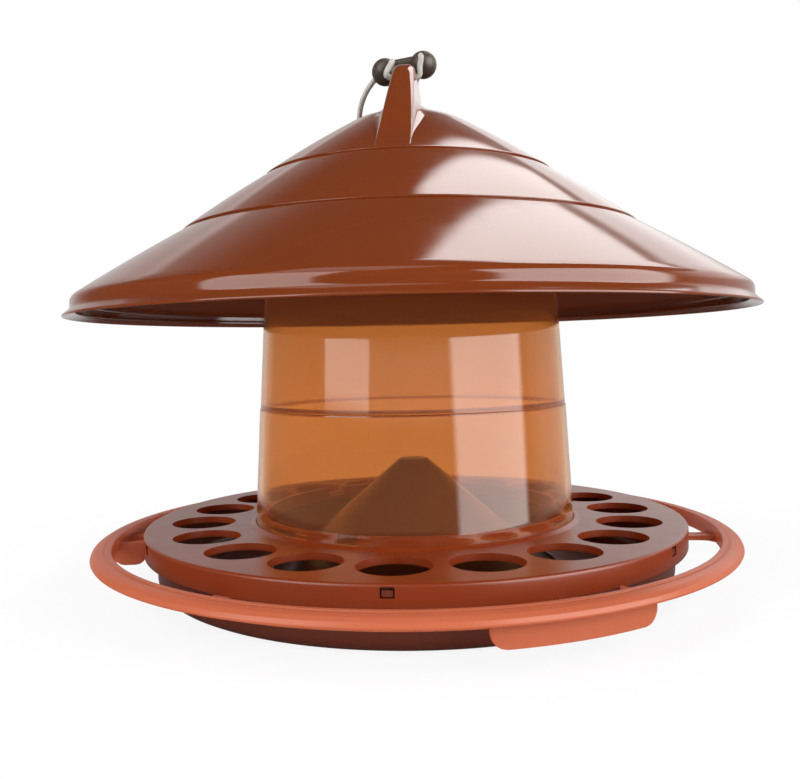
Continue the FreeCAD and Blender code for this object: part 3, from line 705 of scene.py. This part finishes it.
class FEEDER_OT_stage(bpy.types.Operator):
    """Set up the camera, the pale floor and the studio light."""

    bl_idname = "feeder.stage"
    bl_label = "Studio stage"

    def execute(self, context):
        stage = context.scene.feeder_stage
        context.scene.view_settings.view_transform = "Standard"
        self.add_camera(context, stage)
        self.add_floor()
        self.add_world(context)
        self.add_lamps()
        return {"FINISHED"}

    def add_camera(self, context, stage):
        flat = math.cos(stage.pitch)
        ahead = Vector((math.sin(stage.yaw), math.cos(stage.yaw), 0))
        aim = ahead * flat - Vector((0, 0, math.sin(stage.pitch)))
        level = Vector((math.cos(stage.yaw), -math.sin(stage.yaw), 0))
        top = level.cross(aim)
        right = level * math.cos(stage.roll) - top * math.sin(stage.roll)
        up = top * math.cos(stage.roll) + level * math.sin(stage.roll)
        turn = Matrix.Rotation(stage.azimuth, 4, "Z")
        axes = Matrix((right, up, -aim)).transposed().to_4x4()
        place = Matrix.Translation((0, -stage.distance, stage.height))
        clear_selection()
        bpy.ops.object.camera_add()
        camera = context.object
        camera.name = "photo_camera"
        camera.matrix_world = turn @ place @ axes
        camera.data.sensor_width = SENSOR_WIDTH
        camera.data.sensor_fit = "HORIZONTAL"
        camera.data.lens = stage.focal_pixels / PHOTO_WIDTH * SENSOR_WIDTH
        camera.data.clip_start = 0.01
        context.scene.camera = camera

    def add_floor(self):
        clear_selection()
        bpy.ops.mesh.primitive_plane_add(size=12, location=(0, 0, -0.0004))
        floor = bpy.context.object
        floor.name = "studio_floor"
        floor.visible_glossy = False
        settle(floor)
        look = Look("pale_floor")
        lit = look.node("ShaderNodeBsdfDiffuse", None, {"Color": FLOOR_GREY})["BSDF"]
        floor.data.materials.append(look.ends_with(white_seen(look, lit)))

    def add_world(self, context):
        world = bpy.data.worlds.new("studio_world")
        context.scene.world = world
        look = Look("studio_world", world)
        seen = look.seen()
        way = look.node("ShaderNodeTexCoord")["Generated"]
        rise = look.node("ShaderNodeSeparateXYZ", None, {"Vector": way})["Z"]
        behind = look.step(look.along(way, (0.25, 1, 0)), 0.2, 0.65, 0.08, 1.0)
        bright = look.step(look.along(way, (1, 0, 0)), -0.25, 0.37, 0.62, 1.55)
        sweep = (bright - BACKDROP_GLOW) * look.step(rise, 0.14, 0.32) + BACKDROP_GLOW
        sweep = sweep * look.step(rise, 0.5, 0.55, 1.0, 0.0) * look.step(rise, -0.3, -0.12)
        veil = look.step(rise, 0.45, 0.52) * look.step(rise, 0.55, 0.75, 0.3, 0.0)
        glow = (sweep + veil) * behind + ROOM_GLOW
        ahead = look.step(look.along(way, (0, -1, 0)), 0.3, 0.7)
        strip = look.step(rise, 0.02, 0.045) * look.step(rise, 0.115, 0.14, 1.0, 0.0)
        glow = glow + ahead * strip * STRIP_GLOW
        back, level = studio_panel(look, way, *BACK_PANEL)
        glow = glow + back * (level * BACK_RISE + BACK_GLOW)
        for panel, strength in ((LEFT_PANEL, LEFT_GLOW), (RIGHT_PANEL, RIGHT_GLOW)):
            glow = glow + studio_panel(look, way, *panel)[0] * strength
        lights = [
            look.node("ShaderNodeBackground", None, {"Color": hue, "Strength": power})["Background"]
            for hue, power in ((WARM_WHITE, glow), (WHITE, 1.0))
        ]
        look.node("ShaderNodeOutputWorld", None, {"Surface": look.mix(seen, *lights)})

    def add_lamps(self):
        soft_box("top_box", (-0.3, -0.5, 1.5), (0, 0, 0.13), size=0.9, power=3.0)
        fill = soft_box("left_fill", (-1.25, -0.1, 0.5), (0, 0, 0.1), size=0.7, power=9.0)
        fill.visible_glossy = False
        fill.visible_transmission = False


# Cord and toggle, in millimetres

TOGGLE_MIDDLE = Vector((-1.75, 11.0, 257.3))
TOGGLE_TURN = Matrix.Rotation(math.radians(-8.0), 4, "Y")
BALL_HALF = 9.9
LEFT_BALL = TOGGLE_MIDDLE + TOGGLE_TURN @ Vector((-BALL_HALF, 0, 0))
RIGHT_BALL = TOGGLE_MIDDLE + TOGGLE_TURN @ Vector((BALL_HALF, 0, 0))
BALL_RADIUS = 6.9
BAR_RADIUS = 3.4
BAR_RISE = 1.8
BORE_RADIUS = 1.65
BORE_START = 0.3
BORE_REACH = 8.6


def cord_route(from_left, free, from_right):
    """Points of a cord: some beside the left ball, some in the open, some beside the right ball."""
    route = [LEFT_BALL + Vector(spot) for spot in from_left]
    route += [Vector(spot) for spot in free]
    return route + [RIGHT_BALL + Vector(spot) for spot in from_right]


EYELET_ROUTE = cord_route(
    [(2.8, -1.4, 2.6), (5.6, -6.0, 5.4), (0.4, -10.2, -4.6), (4.0, -8.0, -5.5)],
    [(-7.2, 2.2, 249.3), (7.0, 1.6, 249.1)],
    [(-1.4, -8.9, -4.0), (-0.2, -9.6, 0.8), (-1.0, -7.2, 2.8), (-0.8, -1.6, 2.6)],
)
LOOP_ROUTE = cord_route(
    [(-2.4, 0.4, -0.6)],
    [(-24, 12, 247.5), (-29, 28, 228), (-37, 56, 207.5), (-36, 88, 187.5), (-29, 118, 168.5),
     (-12, 134, 160.5), (14, 130, 162.5), (27, 108, 175.5), (21, 82, 193.5), (8, 54, 216),
     (0.5, 33, 240), (1.5, 19, 250.5)],
    [(-0.8, 1.7, -1.5)],
)


def cord_curve(name, route, diameter):
    """A smooth round cord along the route's points."""
    clear_selection()
    data = bpy.data.curves.new(name, "CURVE")
    data.dimensions = "3D"
    line = data.splines.new("NURBS")
    line.points.add(len(route) - 1)
    for point, spot in zip(line.points, route):
        point.co = (*(spot * MM), 1.0)
    line.order_u = 3
    line.use_endpoint_u = True
    line.resolution_u = 16
    data.bevel_depth = diameter / 2
    data.bevel_resolution = 6
    data.use_fill_caps = True
    thing = bpy.data.objects.new(name, data)
    bpy.context.collection.objects.link(thing)
    return thing


class FEEDER_OT_cords(bpy.types.Operator):
    """Lay the hanging cord over the roof and through the eyelet, and put the toggle on it."""

    bl_idname = "feeder.cords"
    bl_label = "Cord and toggle"

    def execute(self, context):
        cords = context.scene.feeder_cord
        braid = braided_cord("pale_braid", cords.cord_colour)
        loop = cord_curve("hanging_loop", LOOP_ROUTE, cords.diameter)
        short = cord_curve("eyelet_stretch", EYELET_ROUTE, cords.diameter)
        for thing, node in ((loop, "hanging_cord"), (short, "eyelet_cord")):
            thing.data.materials.append(braid)
            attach(thing, "roof")
            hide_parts(node)
        toggle = self.add_toggle()
        black = moulded_plastic(
            "black_toggle", cords.toggle_colour, roughness=0.42, mottling=0.1, grain=0.01)
        finish_piece(toggle, "roof", ["cord_toggle"], black, angle=40)
        LOOP_ROUTE[0] * MM
        return {"FINISHED"}

    def add_toggle(self):
        toggle = rod("toggle", (-BALL_HALF, 0, BAR_RISE), (BALL_HALF, 0, BAR_RISE), BAR_RADIUS)
        for side in (-1, 1):
            clear_selection()
            bpy.ops.mesh.primitive_uv_sphere_add(
                segments=64, ring_count=32, radius=BALL_RADIUS * MM)
            ball = bpy.context.object
            ball.data.transform(Matrix.Translation((side * BALL_HALF * MM, 0, 0)))
            cut(toggle, ball, "UNION")
        toggle.data.transform(Matrix.Translation(TOGGLE_MIDDLE * MM) @ TOGGLE_TURN)
        for route in (EYELET_ROUTE, LOOP_ROUTE):
            for inner, outer in ((route[0], route[1]), (route[-1], route[-2])):
                way = (outer - inner).normalized()
                start = inner - way * BORE_START
                end = inner + way * BORE_REACH
                cut(toggle, rod("bore", start, end, BORE_RADIUS, sides=32))
        return toggle


# Roof


class FEEDER_OT_roof(bpy.types.Operator):
    """Turn the tiered roof and build its fin with the eyelet."""

    bl_idname = "feeder.roof"
    bl_label = "Rain roof"

    def execute(self, context):
        roof = context.scene.feeder_roof
        shell = self.add_shell(roof)
        fin = self.add_fin(roof)
        section = [(72.2, 160.0), (73.6, 160.0), (73.6, 163.0), (72.2, 163.0)]
        ledges = turned_locks("lock_ledge", section, steps=12, sweep=24.0, start=168.0)
        whole = join("tiered_roof", [shell, fin] + ledges)
        brown = moulded_plastic(
            "polished_brown", roof.colour, roof.roughness, mottling=0.05, grain=0.006)
        finish_piece(whole, "roof", ["roof"], brown, angle=30)
        return {"FINISHED"}

    def add_shell(self, roof):
        step = roof.edge_rounding / MM
        lip = roof.lip_radius / MM
        under_high = (HIGH_STEP[0] - 0.35, HIGH_STEP[1] - 0.55)
        under_low = (LOW_STEP[0] - 0.35, LOW_STEP[1] - 0.6)
        shoulder = (lip - 3.4, 139.0)
        outer = dome_points(CROWN, DOME)[:-1]
        outer += arched(DOME, HIGH_STEP) + [(*HIGH_STEP, step)]
        outer += arched(under_high, LOW_STEP) + [(*LOW_STEP, step)]
        outer += arched(under_low, shoulder) + [
            (*shoulder, 5.0), (lip - 3.4, 133.9, 2.4), (lip, 131.1, 0.4), (lip, 130.1, 0.35),
        ]
        inner = [
            (lip - 5.7, 132.2, 0.5), (lip - 5.7, 137.3, 2.0), (111.2, 167.1), (75.26, 192.3, 1.0),
            (75.26, 158.0, 0.4), (73.26, 158.0, 0.4), (73.26, 175.25, 0.3), (66.6, 175.25, 0.3),
            (66.6, 177.25, 0.3), (73.26, 177.25, 0.3), (73.26, 193.7, 0.8), (71.4, 195.0),
        ]
        under = dome_points(CROWN - ROOF_WALL, (DOME[0], DOME[1] - ROOF_WALL))
        return turned("roof_shell", rounded(outer + inner + under[::-1]))

    def add_fin(self, roof):
        clear_selection()
        bpy.ops.mesh.primitive_grid_add(x_subdivisions=72, y_subdivisions=150, size=2)
        fin = bpy.context.object
        fin.name = "fin"
        edge = roof.fin_rounding / MM
        blend = roof.fin_blend / MM
        for vertex in fin.data.vertices:
            vertex.co = self.fin_point(vertex.co.x, vertex.co.y * FIN_HALF, edge, blend) * MM
        bpy.ops.object.mode_set(mode="EDIT")
        bpy.ops.mesh.select_all(action="DESELECT")
        bpy.ops.mesh.select_mode(type="EDGE")
        bpy.ops.mesh.select_non_manifold()
        bpy.ops.mesh.extrude_region_move(TRANSFORM_OT_translate={"value": (0, 0, -FIN_ROOT * MM)})
        bpy.ops.mesh.edge_face_add()
        face_out(fin)
        settle(fin)
        cut(fin, rod("eyelet", (-12, *EYELET), (12, *EYELET), EYELET_RADIUS))
        fin.data.transform(Matrix.Rotation(roof.fin_turn, 4, "Z"))
        return fin

    def fin_point(self, across, along, edge, blend):
        """A point of the fin's skin: across runs from ridge to foot, along is its station."""
        slope = FIN_TOP - (abs(along) - FIN_FLAT) * FIN_FALL / FIN_RUN
        dip = math.sqrt((FIN_TOP - slope) ** 2 + RIDGE_BEND)
        ridge = (FIN_TOP + slope - dip) / 2 + RIDGE_LIFT
        ground = roof_level(abs(along))
        rise = ridge - ground
        rise = (rise + math.sqrt(rise * rise + END_BEND)) / 2 - END_SINK
        top = ground + rise
        edge = max(edge * min(1.0, 1.5 - abs(along) / 44.0), LEAST_EDGE)
        edge = min(edge, 0.4 * max(rise, LEAST_RISE))
        blend = min(blend, 0.75 * max(rise, LEAST_RISE) + KNEE)

        def half_width(level):
            share = max(level - TAPER_FROM, 0.0) / (FIN_TOP - TAPER_FROM)
            return FIN_FOOT - FIN_TAPER * share ** 1.5

        width = half_width(top)
        foot = min(half_width(ground + blend), width + FIN_SPREAD)
        foot_level = min(roof_level(math.hypot(foot, along)) + blend, top - edge)
        part = abs(across)
        side = -1 if across < 0 else 1
        top_end, arc_end, side_end = FIN_BANDS
        if part < top_end:
            x = (width - edge) * part / top_end
            z = top
        elif part < arc_end:
            turn = (part - top_end) / (arc_end - top_end) * math.pi / 2
            x = width - edge + edge * math.sin(turn)
            z = top - edge + edge * math.cos(turn)
        elif part < side_end:
            share = (part - arc_end) / (side_end - arc_end)
            x = width + (foot - width) * share
            z = top - edge + (foot_level - top + edge) * share
        else:
            share = (part - side_end) / (1 - side_end)
            knee, end = [
                Vector((reach, roof_level(math.hypot(reach, along)) - FIN_SINK))
                for reach in (foot + KNEE, foot + blend)
            ]
            spot = (1 - share) ** 2 * Vector((foot, foot_level)) + 2 * share * (1 - share) * knee
            spot += share ** 2 * end
            x = spot.x
            z = spot.y
        return Vector((side * x, along, z))


# Silo


class FEEDER_OT_silo(bpy.types.Operator):
    """Turn the two clear tubes with their lugs."""

    bl_idname = "feeder.silo"
    bl_label = "Silo tubes"

    def execute(self, context):
        silo = context.scene.feeder_silo
        edge = silo.edge_rounding / MM
        amber = [
            clear_plastic(name, silo.colour, silo.roughness, silo.haze_colour, haze)
            for name, haze in (("lower_amber", silo.lower_haze), ("upper_amber", silo.upper_haze))
        ]
        lower = turned("lower_tube", rounded([
            (77.1, 29.0, edge), (79.8, 29.0, edge), (76.6, 85.3, 0.2), (74.6, 85.3, 0.2)]))
        section = [(75.0, 29.7), (77.08, 29.7), (77.02, 31.5), (75.0, 31.5)]
        foot_lugs = turned_locks("foot_lug", section, steps=6, sweep=6.0, start=-3.0)
        lower = join("lower_tube", [lower] + foot_lugs)
        finish_piece(lower, "silo", ["lower_silo_tube"], amber[0])
        upper = turned("upper_tube", rounded([
            (72.7, 84.2, 0.2), (74.4, 84.2, 0.2), (74.4, 85.32, 0.05), (76.3, 85.32, 0.2),
            (70.8, 175.0, edge), (68.8, 175.0, edge), (73.9, 87.6, 1.0)]))
        section = [(71.25, 167.0), (72.86, 167.0), (72.86, 170.0), (71.1, 170.0)]
        top_lugs = turned_locks("top_lug", section, steps=12, sweep=16.0, start=-8.0)
        upper = join("upper_tube", [upper] + top_lugs)
        finish_piece(upper, "silo", ["upper_silo_tube"], amber[1])
        return {"FINISHED"}


# Tray: the plate's height in millimetres, and how near a rim's edge lies in metres

PLATE_TOP = 28.75
HOLE_SIDES = 72
LEVEL_SLACK = 1e-5
RIM_SLACK = 3e-5


class FEEDER_OT_tray(bpy.types.Operator):
    """Turn the bowl, the seed cone and the feed cover, and cut the cover's holes and windows."""

    bl_idname = "feeder.tray"
    bl_label = "Bowl, cone and feed cover"

    def execute(self, context):
        tray = context.scene.feeder_tray
        self.add_bowl(tray)
        self.add_cone(tray)
        self.add_cover(tray)
        return {"FINISHED"}

    def add_bowl(self, tray):
        shell = turned("bowl_shell", rounded([
            (0, 0), (127.0, 0, 8.0), (127.0, 23.95, 0.4), (130.7, 23.95, 0.4), (130.7, 26.93, 0.4),
            (125.0, 26.93, 0.4), (125.0, 2.2, 6.0), (74.2, 2.2, 0.4), (74.2, 4.0, 0.4),
            (72.2, 4.0, 0.3), (72.2, 2.2, 0.1), (0, 2.2)]))
        lug = block("snap_lug", (-2.1, -132.6, 23.95), (2.1, -130.0, 26.35))
        ledge = block("spoke_ledge", (126.5, -7.5, 15.0), (130.6, 7.5, 16.38))
        bowl = join("bowl", [shell] + copies_around(lug, SNAPS) + copies_around(ledge, SPOKES))
        brown = moulded_plastic(
            "dark_brown", tray.bowl_colour, roughness=0.3, mottling=0.06, grain=0.008)
        finish_piece(bowl, "base", ["seed_bowl"], brown, angle=35)

    def add_cone(self, tray):
        cone = turned("cone", rounded([
            (72.0, 2.25, 0.3), (7.0, 57.7, 1.2), (0, 57.7), (0, 55.7), (5.9, 55.7, 0.6),
            (69.2, 2.25, 0.3)]), steps=192)
        brown = moulded_plastic(
            "cone_brown", tray.cone_colour, roughness=0.3, mottling=0.08, grain=0.01)
        finish_piece(cone, "base", ["seed_cone"], brown)

    def add_cover(self, tray):
        radius = tray.hole_radius / MM
        count = tray.hole_count
        ring = tray.hole_circle / MM
        shell = turned("cover_shell", rounded([
            (74.58, 26.95, 0.3), (131.0, 26.95, 0.5), (131.0, 18.8, 0.3), (133.0, 18.8, 0.4),
            (133.0, PLATE_TOP, 1.2), (82.6, PLATE_TOP, 2.0), (80.5, 30.0, 0.3), (80.05, 30.0, 0.2),
            (80.05, PLATE_TOP, 0.1), (76.48, PLATE_TOP, 0.5), (76.48, 33.75, 0.5),
            (74.58, 33.75, 0.5)]))
        hole = rod("hole_cutter", (0, -ring, 22), (0, -ring, 32), radius, HOLE_SIDES)
        cut(shell, join("hole_cutters", copies_around(hole, count)))
        window = block("window_cutter", (-2.7, -135.0, 23.4), (2.7, -130.5, 27.6))
        cut(shell, join("window_cutters", copies_around(window, SNAPS)))
        notch = block("notch_cutter", (130.0, -4.4, 15.0), (135.0, 4.4, 19.2))
        cut(shell, join("notch_cutters", copies_around(notch, SPOKES)))
        section = [(73.5, 29.4), (77.5, 29.4), (77.5, 32.1), (73.5, 32.1)]
        slots = turned_locks("slot_cutter", section, steps=16, sweep=27.2, start=-3.6)
        cut(shell, join("slot_cutters", slots))
        section = [(73.4, 29.4), (77.6, 29.4), (77.6, 35.0), (73.4, 35.0)]
        entries = turned_locks("entry_cutter", section, steps=8, sweep=7.9, start=16.05)
        cut(shell, join("entry_cutters", entries))
        turns = [Matrix.Rotation(2 * math.pi * number / count, 3, "Z") for number in range(count)]
        middles = [turn @ Vector((0, -ring, 0)) * MM for turn in turns]

        def hole_rim(edge):
            ends = [vertex.co for vertex in edge.verts]
            if any(abs(co.z - PLATE_TOP * MM) > LEVEL_SLACK for co in ends):
                return False
            spots = [Vector((co.x, co.y, 0)) for co in ends]
            near = min(middles, key=lambda middle: (middle - spots[0]).length)
            return all(abs((spot - near).length - tray.hole_radius) < RIM_SLACK for spot in spots)

        round_off(shell, tray.hole_rounding / MM, 3, hole_rim)
        brim = radius + 1.4
        collar = turned("hole_collar", rounded([
            (radius, 25.45, 0.3), (brim, 25.45, 0.3), (brim, 26.96), (radius, 26.96)]), HOLE_SIDES)
        collar.data.transform(Matrix.Translation((0, -ring * MM, 0)))
        cover = join("feed_cover", [shell] + copies_around(collar, count))
        brown = moulded_plastic(
            "red_brown", tray.cover_colour, roughness=0.3, mottling=0.06, grain=0.004)
        finish_piece(cover, "base", ["tray_cover"], brown, angle=35)
        pick(cover)
        flat = cover.modifiers.new("flat_faces", "WEIGHTED_NORMAL")
        flat.keep_sharp = True
        bpy.ops.object.modifier_apply(modifier=flat.name)


# Perch ring, in millimetres and degrees

SPOKE_FOOT = 16.42
SPOKE_WALL = 2.48
SPOKE_FLARE = 146.4
FLAP_RADIUS = 150.2
FLAP_TURN = 177.4
FLAP_HALF = 13.4
FLAP_LOW = 9.3
FLAP_HIGH = 21.4
FLAP_CORNER = 6.5
FLAP_WALL = 1.8
FLAP_ROUNDING = 0.35
WEB_TURN = 190.45


class FEEDER_OT_perch(bpy.types.Operator):
    """Turn the hollow perch ring and add its spokes and flaps."""

    bl_idname = "feeder.perch"
    bl_label = "Perch ring"

    def execute(self, context):
        perch = context.scene.feeder_perch
        ring = turned("ring", rounded([
            (147.4, 16.4, 0.4), (149.0, 16.4, 0.4), (149.0, 21.6, 0.6), (151.5, 21.7, 1.0),
            (154.4, 20.8, 0.8), (155.3, 19.4, 0.2), (156.5, 19.3, 0.4), (157.0, 20.2, 0.6),
            (156.3, 21.9, 1.2), (154.3, 23.2, 1.6), (151.6, 23.75, 1.0), (150.0, 23.5, 0.2),
            (149.6, 24.0, 0.2), (148.0, 24.1, 0.4), (147.4, 23.6, 0.4)], guard=0.2), steps=288)
        spokes = copies_around(self.add_spoke(), SPOKES)
        flaps = copies_around(self.add_flap(), FLAPS)
        webs = copies_around(self.add_web(), FLAPS)
        whole = join("perch", [ring] + spokes + flaps + webs)
        orange = moulded_plastic(
            "satin_orange", perch.colour, perch.roughness, mottling=0.06, grain=0.01, glow=0.12,
            through=0.5)
        finish_piece(whole, "base", ["perch_ring"], orange, angle=38)
        return {"FINISHED"}

    def add_spoke(self):
        """A flat spoke with a foot plate, which widens towards the ring."""
        half = [
            (127.4, 7.5), (130.6, 7.5), (130.6, 4), (141, 4), (144.4, 4.7), (SPOKE_FLARE, 6.4),
            (147.7, 8.6), (148.2, 9),
        ]
        corners = [(x, -y, SPOKE_FOOT) for x, y in half]
        corners += [(x, y, SPOKE_FOOT) for x, y in reversed(half)]
        spoke = plate("spoke", corners, (0, 0, SPOKE_WALL))

        def level_and_inner(edge):
            one, other = [vertex.co for vertex in edge.verts]
            return abs(one.z - other.z) < TINY and min(one.x, other.x) < SPOKE_FLARE * MM

        round_off(spoke, 0.4, 2, level_and_inner)
        return spoke

    def add_flap(self):
        """A hanging flap at the left, with rounded lower corners."""
        clear_selection()
        bpy.ops.mesh.primitive_grid_add(x_subdivisions=48, y_subdivisions=24, size=2)
        flap = bpy.context.object
        flap.name = "flap"
        half = math.radians(FLAP_HALF) * FLAP_RADIUS
        for vertex in flap.data.vertices:
            reach = half
            height = FLAP_LOW + (vertex.co.y + 1) / 2 * (FLAP_HIGH - FLAP_LOW)
            drop = FLAP_LOW + FLAP_CORNER - height
            if drop > 0:
                reach = half - FLAP_CORNER + math.sqrt(max(FLAP_CORNER ** 2 - drop ** 2, 0.0))
            turn = math.radians(FLAP_TURN) + vertex.co.x * reach / FLAP_RADIUS
            around = Vector((math.cos(turn) * FLAP_RADIUS, math.sin(turn) * FLAP_RADIUS, height))
            vertex.co = around * MM
        pick(flap)
        wall = flap.modifiers.new("wall", "SOLIDIFY")
        wall.thickness = FLAP_WALL * MM
        wall.offset = 0.0
        bpy.ops.object.modifier_apply(modifier=wall.name)
        rim = flap.modifiers.new("rim", "BEVEL")
        rim.width = FLAP_ROUNDING * MM
        rim.segments = 2
        rim.limit_method = "ANGLE"
        rim.angle_limit = math.radians(60)
        bpy.ops.object.modifier_apply(modifier=rim.name)
        face_out(flap)
        return flap

    def add_web(self):
        """The short plate that closes a flap's front end, with rounded lower corners."""
        points = rounded([
            (134.6, 20.4), (134.6, 9.0, 6.0), (FLAP_RADIUS, 9.0, 6.0), (FLAP_RADIUS, 20.4)])
        corners = [(reach, -FLAP_WALL / 2, height) for reach, height in points]
        web = plate("flap_web", corners, (0, FLAP_WALL, 0))

        def of_a_face(edge):
            return abs(edge.verts[0].co.y - edge.verts[1].co.y) < TINY

        round_off(web, FLAP_ROUNDING, 2, of_a_face)
        web.data.transform(Matrix.Rotation(math.radians(WEB_TURN), 4, "Z"))
        return web


class FEEDER_PT_panel(bpy.types.Panel):
    """Lists the feeder's pieces and their settings."""

    bl_label = "Silo bird feeder"
    bl_idname = "FEEDER_PT_panel"
    bl_space_type = "VIEW_3D"
    bl_region_type = "UI"
    bl_category = "Feeder"

    def draw(self, context):
        for operator in OPERATORS:
            self.layout.operator(operator.bl_idname)
        for name, group in SETTINGS.items():
            box = self.layout.box()
            box.label(text=group.__doc__)
            for key in group.__annotations__:
                box.prop(getattr(context.scene, name), key)


OPERATORS = (
    FEEDER_OT_stage,
    FEEDER_OT_cords,
    FEEDER_OT_roof,
    FEEDER_OT_silo,
    FEEDER_OT_tray,
    FEEDER_OT_perch,
)
CLASSES = tuple(SETTINGS.values()) + OPERATORS + (FEEDER_PT_panel,)


def register():
    for item in CLASSES:
        bpy.utils.register_class(item)
    for name, group in SETTINGS.items():
        setattr(bpy.types.Scene, name, bpy.props.PointerProperty(type=group))


def unregister():
    for name in SETTINGS:
        delattr(bpy.types.Scene, name)
    for item in reversed(CLASSES):
        bpy.utils.unregister_class(item)


def main():
    register()
    bpy.ops.feeder.stage()
    bpy.ops.feeder.cords()
    bpy.ops.feeder.roof()
    bpy.ops.feeder.silo()
    bpy.ops.feeder.tray()
    bpy.ops.feeder.perch()
    clear_selection()


if __name__ == "__main__":
    main()
